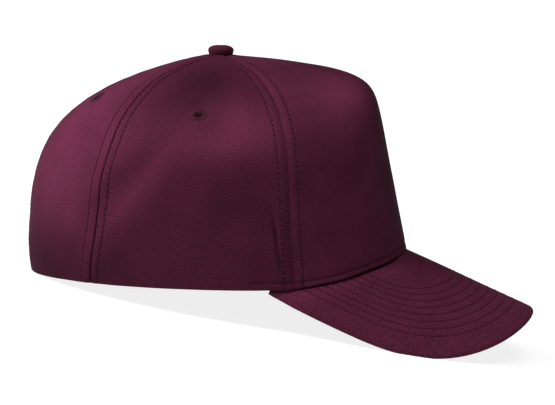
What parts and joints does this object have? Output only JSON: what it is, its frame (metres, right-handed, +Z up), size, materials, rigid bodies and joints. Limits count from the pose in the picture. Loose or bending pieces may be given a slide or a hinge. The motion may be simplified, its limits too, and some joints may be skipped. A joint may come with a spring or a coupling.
{
  "type": "five panel cap",
  "caption": "Cotton twill cap with one wide stiff front panel, soft side and back panels, a curved stitched peak, a covered button and sewn eyelets, resting on a surface.",
  "frame": {"origin": "middle of the cap's box, on the surface that the cap rests on", "axes": "-Y where the peak points, +X to the wearer's left, +Z up from the surface"},
  "size_m": [0.1698, 0.2736, 0.1354],
  "materials": {
    "crown_twill": "woven cotton twill, matt",
    "peak_twill": "woven cotton twill over a stiff board, matt",
    "sweatband_cloth": "woven cotton, matt",
    "button_twill": "woven cotton twill pulled over a dome, matt",
    "eyelet_thread": "sewn thread, slight sheen"
  },
  "bodies": {
    "root": {"front_panel": "crown_twill", "side_panel_left": "crown_twill", "side_panel_right": "crown_twill", "back_panel_left": "crown_twill", "back_panel_right": "crown_twill", "peak": "peak_twill", "sweatband": "sweatband_cloth", "button": "button_twill", "eyelet_side_left": "eyelet_thread", "eyelet_side_right": "eyelet_thread", "eyelet_back_left": "eyelet_thread", "eyelet_back_right": "eyelet_thread"}
  },
  "joints": []
}
